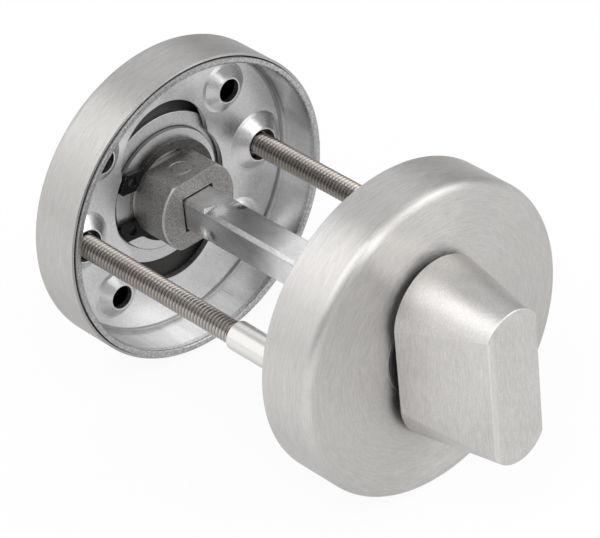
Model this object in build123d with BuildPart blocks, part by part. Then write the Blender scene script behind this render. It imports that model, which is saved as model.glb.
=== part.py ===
from build123d import *
from math import radians, tan
import os

os.makedirs("parts", exist_ok=True)

# All lengths are in millimetres.
# The spindle lies along Y, the thumb turn points towards -Y and +Z is up.
# The origin is on the spindle's axis, in the door face of the inside rose.

# Door
door_thickness = 42.4

# Rose cover, a shallow spun cup
cover_diameter = 52.0
cover_height = 9.7
cover_sheet = 0.45
cover_edge_radius = 1.5
cover_setback = 0.6

# Stamped base cup inside the cover
base_gap = 0.15
base_sheet = 1.0
base_floor_depth = 7.7
base_bend_radius = 0.7
base_rim_radius = 0.4
opening_radius = 11.3
lobe_half_width = 9.0
lobe_reach = 16.25
lobe_blend_radius = 1.0
screw_circle_diameter = 36.9

# Dimples pressed towards the door, two for the through screws and four spare
dimple_wall_angle = 40.0
dimple_lip = 0.2
dimple_flare_angle = 20.0
dimple_flare_rise = 0.2
screw_dimple_rise = 1.7
screw_hole_radius = 2.7
spare_dimple_rise = 1.5
spare_hole_radius = 2.0
spare_dimple_count = 4
spare_dimple_angle = 45.0

# Catch dents that hold the cover on the base
catch_length = 3.0
catch_width = 0.9
catch_depth = 0.1
catch_height = 5.5
catch_count = 2
catch_angle = 73.0

# Cast hub that turns in the cover
hub_diameter = 15.0
hub_flat_width = 12.0
hub_recess = 0.5
hub_edge_chamfer = 0.3
hub_floor = 1.0
spigot_diameter = 10.0
turn_spigot_length = 5.0
release_spigot_length = 1.2
spigot_end_gap = 0.1
mould_mark_diameter = 3.8
mould_mark_width = 0.35
mould_mark_depth = 0.12
mould_mark_height = 4.0

# Retaining ring in the hub's groove
ring_thickness = 1.0
ring_groove_depth = 0.35
ring_beam_width = 2.1
ring_end_width = 1.0
ring_ear_reach = 3.6
ring_ear_spread = 12.0
ring_ear_blend_radius = 2.0
ring_ear_corner_radius = 0.7
ring_ear_hole_radius = 0.85
ring_ear_hole_reach = 1.7
ring_gap_width = 5.4
ring_gap_angle = 7.0

# Washer and bearing disc between the ring and the cover
washer_diameter = 21.0
washer_thickness = 0.7
disc_diameter = 26.0
disc_thickness = 0.6
axial_play = 0.05
running_clearance = 0.05

# Flanged bush in the cover's hole
bush_wall = 1.1
bush_flange_diameter = 19.0
bush_flange_thickness = 0.4

# Thumb turn
turn_rose_clearance = 1.2
turn_height = 15.8
turn_base_half_width = 9.0
turn_base_half_length = 15.6
turn_base_end_radius = 9.06
turn_top_half_width = 4.9
turn_top_half_length = 13.7
turn_top_end_radius = 5.5
turn_edge_radius = 0.25
neck_diameter = 17.0

# Release disc on the outside, turned with a coin
release_diameter = 21.0
release_height = 3.0
release_edge_chamfer = 0.4
coin_slot_width = 2.0
coin_slot_length = 14.0
coin_slot_depth = 1.3

# Spindle
spindle_width = 6.0
spindle_chamfer = 0.6
spindle_play = 0.15
spindle_end_gap = 1.0

# Notches pressed into the spindle's edges so that it stays in the outside hub
notch_depth = 0.55
notch_reach = 2.6
notch_step = 0.9
notch_run = 3.0
notch_face_turns = (0, 0, -90, 180)
notch_edges = (-1, 1, -1, -1)
notch_distances = (4.4, 6.0, 4.1, 6.0)

# Through screws and their sleeve nuts
thread_diameter = 3.85
thread_clearance = 0.15
screw_tip = 4.0
head_diameter = 7.6
head_edge = 0.35
head_clearance = 0.05
sleeve_diameter = 4.8
sleeve_start = 13.8
sleeve_chamfer = 0.5
sleeve_bore_floor = 2.0
driver_slot_width = 1.0
driver_slot_depth = 1.0

# Heights that follow, measured from the door face outwards
cover_face = cover_setback + cover_height
cover_inside = cover_face - cover_sheet
base_floor_back = base_floor_depth + base_sheet
disc_back = cover_inside - axial_play
disc_front = disc_back - disc_thickness
washer_front = disc_front - washer_thickness
ring_front = washer_front - ring_thickness
flange_top = cover_face + bush_flange_thickness
hub_top = flange_top + axial_play
turn_base = cover_face + turn_rose_clearance

# Recess behind each screw dimple, where the heads sit
head_seat = base_floor_back - screw_dimple_rise
dimple_slope = tan(radians(dimple_wall_angle))
head_seat_radius = screw_hole_radius - head_clearance
head_cone_height = (head_diameter / 2 - head_seat_radius) * dimple_slope
head_top = head_seat + head_cone_height + head_edge

# Radii that follow
cover_radius = cover_diameter / 2
cover_inner_radius = cover_radius - cover_sheet
base_radius = cover_inner_radius - base_gap
base_inner_radius = base_radius - base_sheet
screw_circle_radius = screw_circle_diameter / 2
hub_radius = hub_diameter / 2
ring_seat_radius = hub_radius - ring_groove_depth
ring_ear_radius = ring_seat_radius + ring_ear_reach
ring_ear_hole_distance = ring_seat_radius + ring_ear_hole_reach
bush_bore_radius = hub_radius + running_clearance
bush_radius = bush_bore_radius + bush_wall
thread_radius = thread_diameter / 2
head_radius = head_diameter / 2
sleeve_radius = sleeve_diameter / 2
square_hole_width = spindle_width + 2 * spindle_play

# The two roses face away from the door, each with its own outward direction
inside_rose = Plane(origin=(0, 0, 0), x_dir=(1, 0, 0), z_dir=(0, -1, 0))
outside_rose = Plane(origin=(0, door_thickness, 0), x_dir=(-1, 0, 0), z_dir=(0, 1, 0))


def save(piece, node):
    """Names a finished piece and writes it."""
    piece.part.label = node
    export_step(piece.part, f"parts/{node}.step")


def section_plane(rose):
    """Plane through the rose's axis: its x runs outwards in radius, its y away from the door."""
    return Plane(origin=rose.origin, x_dir=rose.x_dir, z_dir=rose.x_dir.cross(rose.z_dir))


def rose_axis(rose):
    return Axis(rose.origin, rose.z_dir)


def make_cover(rose):
    """Spun cup with a rounded edge and a hole for the bush."""
    with BuildPart() as cover:
        with BuildSketch(section_plane(rose)) as section:
            with BuildLine():
                outer = FilletPolyline(
                    (cover_radius, cover_setback),
                    (cover_radius, cover_face),
                    (bush_radius, cover_face),
                    radius=cover_edge_radius,
                )
                inner = FilletPolyline(
                    (cover_inner_radius, cover_setback),
                    (cover_inner_radius, cover_inside),
                    (bush_radius, cover_inside),
                    radius=cover_edge_radius - cover_sheet,
                )
                Line(outer @ 0, inner @ 0)
                Line(outer @ 1, inner @ 1)
            make_face()
        revolve(axis=rose_axis(rose))
    return cover


def press_cones(plane, spots, tip_radius, rise, wall_angle, mode=Mode.ADD):
    """Adds or cuts cones that rise from the plane towards the door."""
    with BuildSketch(plane) as feet:
        with Locations(*spots):
            Circle(tip_radius + rise / tan(radians(wall_angle)))
    extrude(feet.sketch, amount=-rise, taper=90 - wall_angle, mode=mode)


def press_dimple(rose, spots, hole_radius, rise):
    """Raises a flared cone at each spot, hollows it from behind and pierces its tip."""
    front = rose.offset(base_floor_depth)
    back = rose.offset(base_floor_back)
    tip_radius = hole_radius + dimple_lip
    flare_tip_radius = tip_radius + (rise - dimple_flare_rise) / dimple_slope
    press_cones(front, spots, tip_radius, rise, dimple_wall_angle)
    press_cones(front, spots, flare_tip_radius, dimple_flare_rise, dimple_flare_angle)
    press_cones(back, spots, hole_radius, rise, dimple_wall_angle, Mode.SUBTRACT)
    with BuildSketch(back) as holes:
        with Locations(*spots):
            Circle(hole_radius)
    extrude(holes.sketch, amount=-base_floor_back, mode=Mode.SUBTRACT)


def press_catches(rose):
    """Presses short dents outwards in the base's wall."""
    dent_radius = base_radius + catch_depth - base_sheet / 2
    with Locations(rose.offset(catch_height)):
        with PolarLocations(dent_radius, catch_count, start_angle=catch_angle):
            Box(base_sheet, catch_width, catch_length)
        with PolarLocations(dent_radius - base_sheet, catch_count, start_angle=catch_angle):
            Box(base_sheet, catch_width, catch_length, mode=Mode.SUBTRACT)


def make_base(rose):
    """Stamped cup with a lobed opening, dimples for the screws and dents that catch the cover."""
    screw_spots = PolarLocations(screw_circle_radius, 2)
    spare_spots = PolarLocations(screw_circle_radius, spare_dimple_count, start_angle=spare_dimple_angle)
    with BuildPart() as base:
        with BuildSketch(section_plane(rose)) as section:
            with BuildLine():
                outer = FilletPolyline(
                    (base_radius, 0),
                    (base_radius, base_floor_back),
                    (0, base_floor_back),
                    radius=base_bend_radius + base_sheet,
                )
                inner = FilletPolyline(
                    (base_inner_radius, 0),
                    (base_inner_radius, base_floor_depth),
                    (0, base_floor_depth),
                    radius=base_bend_radius,
                )
                Line(outer @ 0, inner @ 0)
                Line(outer @ 1, inner @ 1)
            make_face()
        revolve(axis=rose_axis(rose))
        rim_edges = base.edges().group_by(rose_axis(rose))[0].sort_by(SortBy.RADIUS)
        fillet(rim_edges[0], base_rim_radius)
        with BuildSketch(rose.offset(base_floor_back)) as opening:
            Circle(opening_radius)
            SlotOverall(2 * lobe_reach, 2 * lobe_half_width, rotation=90)
            corners = opening.vertices()
            corners.sort(key=lambda corner: abs(Vector(corner.X, corner.Y).length - opening_radius))
            fillet(corners[:4], lobe_blend_radius)
        extrude(amount=-base_floor_back, mode=Mode.SUBTRACT)
        press_dimple(rose, screw_spots, screw_hole_radius, screw_dimple_rise)
        press_dimple(rose, spare_spots, spare_hole_radius, spare_dimple_rise)
        press_catches(rose)
    return base


def make_hub(rose, spigot_length):
    """Cast hub: a round shaft in the bush, two flats at the door end, a square hole and a spigot."""
    with BuildPart() as hub:
        with BuildSketch(rose.offset(hub_recess)) as shaft:
            Circle(hub_radius)
        extrude(amount=hub_top - hub_recess)
        door_end = hub.faces().sort_by(rose_axis(rose))[0]
        chamfer(door_end.edges(), hub_edge_chamfer)
        with BuildSketch(rose.offset(hub_recess)) as flats:
            Circle(hub_radius)
            Rectangle(hub_diameter, hub_flat_width, mode=Mode.SUBTRACT)
        extrude(amount=washer_front - hub_recess, mode=Mode.SUBTRACT)
        with BuildSketch(rose.offset(ring_front)) as groove:
            Circle(hub_radius)
            Circle(ring_seat_radius, mode=Mode.SUBTRACT)
        extrude(amount=ring_thickness, mode=Mode.SUBTRACT)
        with BuildSketch(rose.offset(hub_recess)) as square_hole:
            Rectangle(square_hole_width, square_hole_width)
        extrude(amount=hub_top - hub_floor - hub_recess, mode=Mode.SUBTRACT)
        with BuildSketch(rose.offset(hub_top)) as spigot:
            Circle(spigot_diameter / 2)
        extrude(amount=spigot_length)
        with BuildSketch(Plane(rose.from_local_coords((0, hub_flat_width / 2, mould_mark_height)))) as mark:
            Circle(mould_mark_diameter / 2)
            Circle(mould_mark_diameter / 2 - mould_mark_width, mode=Mode.SUBTRACT)
        extrude(amount=-mould_mark_depth, mode=Mode.SUBTRACT)
    return hub


def make_ring(rose):
    """Retaining ring: an eccentric band, open at one side between two drilled ears."""
    ear_offset = (ring_ear_spread + ring_gap_width) / 4
    hole_run = (ring_ear_hole_distance**2 - ear_offset**2) ** 0.5
    band_shift = (ring_beam_width - ring_end_width) / 2
    band_radius = ring_seat_radius + (ring_beam_width + ring_end_width) / 2
    open_side = (Align.MIN, Align.CENTER)
    front = Plane(rose.offset(ring_front).location * Rotation(0, 0, ring_gap_angle))
    with BuildPart() as ring:
        with BuildSketch(front) as profile:
            Circle(ring_ear_radius)
            Rectangle(ring_ear_radius, ring_ear_spread, align=open_side, mode=Mode.INTERSECT)
            with Locations((-band_shift, 0)):
                Circle(band_radius)
            fillet(profile.vertices().sort_by(Axis.X)[:2], ring_ear_blend_radius)
            Rectangle(hub_diameter, ring_gap_width, align=open_side, mode=Mode.SUBTRACT)
            fillet(profile.vertices().sort_by(Axis.X)[-4:], ring_ear_corner_radius)
            Circle(ring_seat_radius, mode=Mode.SUBTRACT)
            with Locations((hole_run, -ear_offset), (hole_run, ear_offset)):
                Circle(ring_ear_hole_radius, mode=Mode.SUBTRACT)
        extrude(amount=ring_thickness)
    return ring


def make_washer(rose, front, diameter, thickness):
    """Flat round washer that rides on the hub's shaft."""
    with BuildPart() as washer:
        with BuildSketch(rose.offset(front)) as face:
            Circle(diameter / 2)
            Circle(bush_bore_radius, mode=Mode.SUBTRACT)
        extrude(amount=thickness)
    return washer


def make_bush(rose):
    """Flanged bush: its barrel fills the cover's hole, its flange lies on the cover's face."""
    with BuildPart() as bush:
        with BuildSketch(rose.offset(cover_inside)) as barrel:
            Circle(bush_radius)
        extrude(amount=cover_sheet)
        with BuildSketch(rose.offset(cover_face)) as flange:
            Circle(bush_flange_diameter / 2)
        extrude(amount=bush_flange_thickness)
        with BuildSketch(rose.offset(cover_inside)) as bore:
            Circle(bush_bore_radius)
        extrude(amount=flange_top - cover_inside, mode=Mode.SUBTRACT)
    return bush


def cut_socket(rose, depth):
    """Cuts the round socket that is pressed on the hub's spigot."""
    with BuildSketch(rose.offset(hub_top)) as socket:
        Circle(spigot_diameter / 2)
    extrude(socket.sketch, amount=depth + spigot_end_gap, mode=Mode.SUBTRACT)


def grip_outline(plane, half_width, half_length, end_radius):
    """Two straight sides joined by an arc at each end."""
    corner = end_radius - (end_radius**2 - half_width**2) ** 0.5
    with BuildSketch(plane) as outline:
        with BuildLine():
            left = Line((-half_width, corner - half_length), (-half_width, half_length - corner))
            ThreePointArc(left @ 1, (0, half_length), (half_width, half_length - corner))
            right = Line((half_width, half_length - corner), (half_width, corner - half_length))
            ThreePointArc(right @ 1, (0, -half_length), left @ 0)
        make_face()
    return outline


def make_turn(rose):
    """Thumb turn: a solid grip that tapers outwards, on a round neck."""
    foot = grip_outline(
        rose.offset(turn_base), turn_base_half_width, turn_base_half_length, turn_base_end_radius
    )
    top = grip_outline(
        rose.offset(turn_base + turn_height), turn_top_half_width, turn_top_half_length, turn_top_end_radius
    )
    with BuildPart() as turn:
        loft(sections=[foot.sketch, top.sketch], ruled=True)
        end_face = turn.faces().sort_by(rose_axis(rose))[-1]
        fillet(end_face.edges(), turn_edge_radius)
        with BuildSketch(rose.offset(hub_top)) as neck:
            Circle(neck_diameter / 2)
        extrude(amount=turn_base - hub_top)
        cut_socket(rose, turn_spigot_length)
    return turn


def make_release(rose):
    """Round release disc with a slot for a coin."""
    with BuildPart() as release:
        with BuildSketch(rose.offset(hub_top)) as button:
            Circle(release_diameter / 2)
        extrude(amount=release_height)
        face = release.faces().sort_by(rose_axis(rose))[-1]
        chamfer(face.edges(), release_edge_chamfer)
        with BuildSketch(rose.offset(hub_top + release_height)) as slot:
            SlotOverall(coin_slot_length, coin_slot_width)
        extrude(amount=-coin_slot_depth, mode=Mode.SUBTRACT)
        cut_socket(rose, release_spigot_length)
    return release


def make_notch(edge, distance):
    """Wedge that cuts the spindle's top face, deepest at one edge and out of the face at its reach."""
    half_width = spindle_width / 2
    inward = edge * notch_depth
    start = Plane(
        origin=(edge * half_width, door_thickness - distance, half_width),
        x_dir=(0, 1, 0),
        z_dir=(-edge * notch_reach, 0, notch_depth),
    )
    with BuildPart() as notch:
        with BuildSketch(start.offset(-notch_depth)):
            with BuildLine():
                Polyline((-2 * notch_run, -inward), (0, inward), (2 * notch_step, -inward), close=True)
            make_face()
        extrude(amount=spindle_width)
    return notch


def make_spindle():
    """Square bar with broken corners, notched near the outside hub."""
    spindle_end = hub_top - hub_floor - spindle_end_gap
    with BuildPart() as spindle:
        with BuildSketch(Plane.XZ.offset(spindle_end)) as section:
            Rectangle(spindle_width, spindle_width)
            chamfer(section.vertices(), spindle_chamfer)
        extrude(amount=-(door_thickness + 2 * spindle_end))
        for face_turn, edge, distance in zip(notch_face_turns, notch_edges, notch_distances):
            add(make_notch(edge, distance).part, rotation=(0, face_turn, 0), mode=Mode.SUBTRACT)
    return spindle


def fastener_plane(rose, x):
    """Plane through a screw's axis: its x runs outwards in radius, its y away from the door."""
    foot = rose.from_local_coords((x, 0, 0))
    return Plane(origin=foot, x_dir=rose.x_dir, z_dir=rose.x_dir.cross(rose.z_dir))


def turn_fastener(rose, x, tip, shank_radius, tip_chamfer):
    """Screw or sleeve with a conical head, seated in the recess behind its dimple."""
    plane = fastener_plane(rose, x)
    with BuildPart() as fastener:
        with BuildSketch(plane) as half_section:
            with BuildLine():
                Polyline(
                    (0, tip),
                    (shank_radius - tip_chamfer, tip),
                    (shank_radius, tip + tip_chamfer),
                    (shank_radius, head_seat),
                    (head_seat_radius, head_seat),
                    (head_radius, head_seat + head_cone_height),
                    (head_radius, head_top),
                    (0, head_top),
                    close=True,
                )
            make_face()
        revolve(axis=Axis(plane.origin, rose.z_dir))
        with BuildSketch(rose.offset(head_top)) as driver_slot:
            with Locations((x, 0)):
                Rectangle(driver_slot_width, head_diameter)
        extrude(amount=-driver_slot_depth, mode=Mode.SUBTRACT)
    return fastener


def make_sleeve(x):
    """Sleeve nut: the shank is bored for the screw from its door end."""
    with BuildPart() as sleeve:
        add(turn_fastener(inside_rose, x, -sleeve_start, sleeve_radius, sleeve_chamfer).part)
        with BuildSketch(inside_rose.offset(-sleeve_start)) as bore:
            with Locations((x, 0)):
                Circle(thread_radius + thread_clearance)
        extrude(amount=sleeve_start + head_seat - sleeve_bore_floor, mode=Mode.SUBTRACT)
    return sleeve


for side, rose in (("inside", inside_rose), ("outside", outside_rose)):
    save(make_cover(rose), f"{side}_cover")
    save(make_bush(rose), f"{side}_bush")
    save(make_washer(rose, disc_front, disc_diameter, disc_thickness), f"{side}_bearing_disc")
    save(make_washer(rose, washer_front, washer_diameter, washer_thickness), f"{side}_washer")
    save(make_ring(rose), f"{side}_retaining_ring")
    save(make_base(rose), f"{side}_base")

save(make_hub(inside_rose, turn_spigot_length), "inside_hub")
save(make_hub(outside_rose, release_spigot_length), "outside_hub")
save(make_turn(inside_rose), "thumb_turn")
save(make_release(outside_rose), "release_disc")
save(make_spindle(), "spindle")

for place, x in (("left", -screw_circle_radius), ("right", screw_circle_radius)):
    screw = turn_fastener(outside_rose, -x, screw_tip - door_thickness, thread_radius, thread_clearance)
    save(screw, f"{place}_through_screw")
    save(make_sleeve(x), f"{place}_sleeve_nut")
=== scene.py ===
"""Bathroom thumb turn lock: its pieces, their finishes and a small studio round the fixed frame.

Laid out as a Blender add-on: settings, one operator for each piece or group of like pieces, one
panel. It is run as a script, which registers the classes and calls the operators in order.
"""

import math
from functools import cached_property

import bmesh
import bpy
from mathutils import Matrix, Vector


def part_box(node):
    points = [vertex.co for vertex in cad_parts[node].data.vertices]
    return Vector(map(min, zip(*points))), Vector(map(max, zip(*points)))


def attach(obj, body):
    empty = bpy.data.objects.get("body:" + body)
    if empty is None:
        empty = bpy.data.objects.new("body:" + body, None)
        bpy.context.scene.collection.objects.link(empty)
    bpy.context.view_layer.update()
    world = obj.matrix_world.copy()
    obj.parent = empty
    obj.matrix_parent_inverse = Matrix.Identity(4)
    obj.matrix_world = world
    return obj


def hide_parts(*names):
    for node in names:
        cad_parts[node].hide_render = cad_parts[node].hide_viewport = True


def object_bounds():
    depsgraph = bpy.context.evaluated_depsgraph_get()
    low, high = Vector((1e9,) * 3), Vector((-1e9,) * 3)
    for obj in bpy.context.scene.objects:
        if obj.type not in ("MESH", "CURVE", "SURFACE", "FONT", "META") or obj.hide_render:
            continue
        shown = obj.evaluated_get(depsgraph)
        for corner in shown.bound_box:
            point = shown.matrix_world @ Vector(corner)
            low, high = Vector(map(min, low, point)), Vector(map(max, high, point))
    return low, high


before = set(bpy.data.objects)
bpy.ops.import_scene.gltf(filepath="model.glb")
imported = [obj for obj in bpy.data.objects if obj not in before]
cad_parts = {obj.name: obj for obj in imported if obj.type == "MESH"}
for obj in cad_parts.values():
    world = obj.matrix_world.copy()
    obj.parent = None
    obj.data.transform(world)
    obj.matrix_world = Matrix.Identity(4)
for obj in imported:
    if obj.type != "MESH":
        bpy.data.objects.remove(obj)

bl_info = {
    "name": "Bathroom thumb turn lock",
    "version": (1, 0, 0),
    "blender": (4, 5, 0),
    "location": "3D View > Sidebar > Thumb Turn",
    "description": "Builds the pieces of a bathroom thumb turn lock with their finishes",
    "category": "Object",
}

MM = 0.001
FRAME_LOW, FRAME_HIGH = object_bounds()
ROSES = "roses"
TURN = "turn"


def node_middle(node):
    """Middle of a frame node's box."""
    low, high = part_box(node)
    return (low + high) / 2.0


# Boxes of the frame's pieces that the places below are worked out from
BASE_LOW, BASE_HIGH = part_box("outside_base")
COVER_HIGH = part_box("outside_cover")[1]
HUB_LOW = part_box("outside_hub")[0]
RING_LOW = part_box("outside_retaining_ring")[0]
WASHER_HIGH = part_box("outside_washer")[1]
SPINDLE_LOW, SPINDLE_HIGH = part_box("spindle")

# Places on the pieces. A height is measured from the nearer door face, out of the door
DOOR_THICKNESS = BASE_LOW.y
DOOR_MIDDLE = DOOR_THICKNESS / 2.0
COVER_SHEET = 0.45 * MM
COVER_FACE_HEIGHT = COVER_HIGH.y - DOOR_THICKNESS
COVER_INSIDE_HEIGHT = COVER_FACE_HEIGHT - COVER_SHEET
COVER_INSIDE_RADIUS = COVER_HIGH.x - COVER_SHEET
TURN_UNDERSIDE_HEIGHT = COVER_FACE_HEIGHT + 1.2 * MM
TURN_END_HEIGHT = -FRAME_LOW.y
TURN_HIGHLIGHT_X = -3.6 * MM
BASE_SHEET = 1.0 * MM
CUP_WALL_RADIUS = BASE_HIGH.x - BASE_SHEET
CUP_BEND_RADIUS = CUP_WALL_RADIUS - 0.42 * MM
HUB_END_HEIGHT = HUB_LOW.y - DOOR_THICKNESS
RING_FRONT_HEIGHT = RING_LOW.y - DOOR_THICKNESS
WASHER_RADIUS = WASHER_HIGH.x
SPINDLE_WIDTH = SPINDLE_HIGH.x - SPINDLE_LOW.x
SPINDLE_CHAMFER = 0.6 * MM
SCREW_SPACING = node_middle("right_through_screw").x - node_middle("left_through_screw").x
SCREW_CIRCLE_RADIUS = SCREW_SPACING / 2.0
THREAD_CREST = 1.925 * MM
HEAD_SEAT_HEIGHT = 7.0 * MM
HEAD_SEAT = DOOR_THICKNESS + HEAD_SEAT_HEIGHT

# Radius and height added, at the cover's rounded inside corner
COVER_INSIDE_CORNER = COVER_INSIDE_RADIUS + COVER_INSIDE_HEIGHT - 0.35 * MM

# Middles of the painted glints and of the dark spots on the spindle, beside the outside hub
SPINDLE_TOP_GLINT = (-1.1 * MM, 36.4 * MM, 3.0 * MM)
SPINDLE_SIDE_GLINT = (-3.0 * MM, 38.4 * MM, -0.9 * MM)
SPINDLE_SIDE_DARK_SPOT = (-3.0 * MM, 36.5 * MM, -0.8 * MM)
SPINDLE_EDGE_DARK_SPOT = (1.9 * MM, 34.4 * MM, 3.0 * MM)

# Width over which a mask fades at an edge
FADE = 0.05 * MM

# Stretches over which a finish or a painted light or shade changes: where the change starts, and where it is
# full
CUP_RIM_SPAN = (0.35 * MM, 0.2 * MM)
CUP_RIM_BAND_SPAN = (1.4 * MM, 0.9 * MM)
CUP_BEND_SHADE_SPAN = (0.42 * MM, 0.18 * MM)
WASHER_SHADOW_SPAN = (0.16 * MM, 0.08 * MM)
HUB_SHADE_SPAN = (21.0 * MM, 25.0 * MM)
RING_SHEEN_SPAN = (-5.0 * MM, 1.0 * MM)
SCREW_PAINTED_LIGHT_SPAN = (38.0 * MM, 12.0 * MM)
UNDER_HEAD_SPAN = (0.12 * MM, 0.05 * MM)

# Length that one radian counts as along the turned grain, which draws its lines out round the spindle
TURNED_GRAIN_ARC = 2.2 * MM

# Depths of the bumps that the finishes have besides the brushed lines
PLATE_BUMP = 0.008 * MM
SPINDLE_BUMP = 0.01 * MM
CAST_BUMP = 0.03 * MM
SPRING_BUMP = 0.015 * MM
SCREW_BUMP = 0.002 * MM
POLYMER_BUMP = 0.01 * MM


# Settings that a user would change


class LockFinishSettings(bpy.types.PropertyGroup):
    """Colours of the finishes and the grain of the brushed surfaces."""

    stainless: bpy.props.FloatVectorProperty(
        name="Brushed stainless",
        description="Colour of the covers, thumb turn, release disc, screw heads and sleeve nuts",
        subtype="COLOR", size=3, min=0.0, max=1.0, default=(0.62, 0.605, 0.59),
    )
    zinc_plate: bpy.props.FloatVectorProperty(
        name="Zinc plate",
        description="Colour of the stamped bases, the washers, the discs and the spindle",
        subtype="COLOR", size=3, min=0.0, max=1.0, default=(0.80, 0.80, 0.805),
    )
    cast_zinc: bpy.props.FloatVectorProperty(
        name="Cast zinc",
        description="Colour of the two cast hubs",
        subtype="COLOR", size=3, min=0.0, max=1.0, default=(0.40, 0.388, 0.378),
    )
    spring_steel: bpy.props.FloatVectorProperty(
        name="Spring steel",
        description="Colour of the retaining rings",
        subtype="COLOR", size=3, min=0.0, max=1.0, default=(0.0138, 0.0134, 0.013),
    )
    screw_steel: bpy.props.FloatVectorProperty(
        name="Screw steel",
        description="Colour of the threads of the through screws",
        subtype="COLOR", size=3, min=0.0, max=1.0, default=(0.55, 0.505, 0.465),
    )
    bush_polymer: bpy.props.FloatVectorProperty(
        name="Bush",
        description="Colour of the flanged bushes",
        subtype="COLOR", size=3, min=0.0, max=1.0, default=(0.03, 0.03, 0.03),
    )
    grain_depth: bpy.props.FloatProperty(
        name="Grain depth",
        description="Depth of the brushed lines",
        subtype="DISTANCE", unit="LENGTH", min=0.0, max=0.0001, default=0.000006,
    )


class LockThreadSettings(bpy.types.PropertyGroup):
    """Sizes of the rolled thread on the through screws."""

    pitch: bpy.props.FloatProperty(
        name="Pitch",
        description="Distance from one crest of the thread to the next",
        subtype="DISTANCE", unit="LENGTH", min=0.0003, max=0.002, default=0.0007,
    )
    depth: bpy.props.FloatProperty(
        name="Depth",
        description="Height of the thread from its root to its crest",
        subtype="DISTANCE", unit="LENGTH", min=0.0001, max=0.001, default=0.00040,
    )


class LockStageSettings(bpy.types.PropertyGroup):
    """Lamps and the photograph's point of view."""

    azimuth: bpy.props.FloatProperty(
        name="Azimuth",
        description="Direction that the part is seen from, about the vertical",
        subtype="ANGLE", unit="ROTATION", default=math.radians(-42.562),
    )
    elevation: bpy.props.FloatProperty(
        name="Elevation",
        description="Height of the point of view above the horizon",
        subtype="ANGLE", unit="ROTATION", default=math.radians(31.582),
    )
    part_roll: bpy.props.FloatProperty(
        name="Roll about the spindle",
        description="How far the part is rolled about its spindle against the point of view",
        subtype="ANGLE", unit="ROTATION", default=math.radians(6.3),
    )
    distance: bpy.props.FloatProperty(
        name="Distance",
        description="Distance from the camera to its aim",
        subtype="DISTANCE", unit="LENGTH", min=0.1, default=0.60606,
    )
    lamp_power: bpy.props.FloatProperty(
        name="Lamp power",
        description="Power of the main soft lamp",
        subtype="POWER", unit="POWER", min=0.0, default=1.3,
    )


SETTINGS = {
    "lock_finish": LockFinishSettings,
    "lock_thread": LockThreadSettings,
    "lock_stage": LockStageSettings,
}


# Small helpers for shader trees


def scaled(base, factor):
    """A colour made darker or lighter, with the alpha that a shader's socket wants."""
    return (base[0] * factor, base[1] * factor, base[2] * factor, 1.0)


class Wiring:
    """Adds nodes to one shader tree. A value that is a socket is linked, any other is set."""

    def __init__(self, tree):
        self.tree = tree

    def add(self, kind, inputs=None, **settings):
        node = self.tree.nodes.new(kind)
        for name, value in settings.items():
            setattr(node, name, value)
        for name, value in (inputs or {}).items():
            self.put(node.inputs[name], value)
        return node

    def put(self, socket, value):
        if isinstance(value, bpy.types.NodeSocket):
            self.tree.links.new(value, socket)
        else:
            socket.default_value = value

    def axes(self, place):
        """The X, Y and Z of a place or a direction."""
        return self.add("ShaderNodeSeparateXYZ", {0: place}).outputs

    def math(self, operation, first, second=0.0, third=0.0):
        node = self.add("ShaderNodeMath", {0: first, 1: second, 2: third}, operation=operation)
        return node.outputs[0]

    def times(self, first, second):
        return self.math("MULTIPLY", first, second)

    def total(self, *parts):
        """The sum of some values, each times its weight."""
        whole = 0.0
        for value, weight in parts:
            whole = self.math("MULTIPLY_ADD", value, weight, whole)
        return whole

    def hypotenuse(self, first, second):
        return self.math("SQRT", self.total((first, first), (second, second)))

    def noise(self, position, scale, detail, roughness):
        node = self.add(
            "ShaderNodeTexNoise",
            {"Vector": position, "Scale": scale, "Detail": detail, "Roughness": roughness},
        )
        return node.outputs["Fac"]

    def ramp(self, value, low, high, out_low=0.0, out_high=1.0):
        node = self.add(
            "ShaderNodeMapRange",
            {"Value": value, "From Min": low, "From Max": high, "To Min": out_low, "To Max": out_high},
        )
        return node.outputs["Result"]

    def soft_step(self, value, start, full):
        """None where the value is at its start, and one where it is full, on either side."""
        node = self.add(
            "ShaderNodeMapRange",
            {"Value": value, "From Min": start, "From Max": full},
            interpolation_type="SMOOTHSTEP",
        )
        return node.outputs["Result"]

    def within(self, *walls):
        """One inside all the soft walls. A wall is a value with its start and where it is full."""
        mask = self.soft_step(*walls[0])
        for wall in walls[1:]:
            mask = self.times(mask, self.soft_step(*wall))
        return mask

    def size(self, value):
        """A value without its sign."""
        return self.math("ABSOLUTE", value)

    def away(self, value, middle):
        """How far a value is from its middle, on either side."""
        return self.size(self.math("SUBTRACT", value, middle))

    def sway(self, mask, reach):
        """A mask made to run from half the reach below none to half of it above."""
        return self.times(self.math("SUBTRACT", mask, 0.5), reach)

    def fade(self, amount, first, second):
        """A number that runs from the first to the second with the amount."""
        return self.math("MULTIPLY_ADD", amount, self.math("SUBTRACT", second, first), first)

    def blend(self, amount, first, second, how="MIX"):
        node = self.add("ShaderNodeMix", data_type="RGBA", blend_type=how)
        self.put(node.inputs[0], amount)
        self.put(node.inputs[6], first)
        self.put(node.inputs[7], second)
        return node.outputs[2]

    def dimmed(self, tone, factor):
        return self.blend(1.0, tone, factor, how="MULTIPLY")

    def shades(self, mask, base, darkest, lightest):
        """A colour that runs with the mask from its darkest shade to its lightest."""
        return self.blend(mask, scaled(base, darkest), scaled(base, lightest))

    def lay(self, mask, tone, base, shade, strength=1.0):
        """Covers a tone with a shade of a colour where the mask is, as far as the strength goes."""
        cover = mask if strength == 1.0 else self.times(mask, strength)
        return self.blend(cover, tone, scaled(base, shade))


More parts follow.
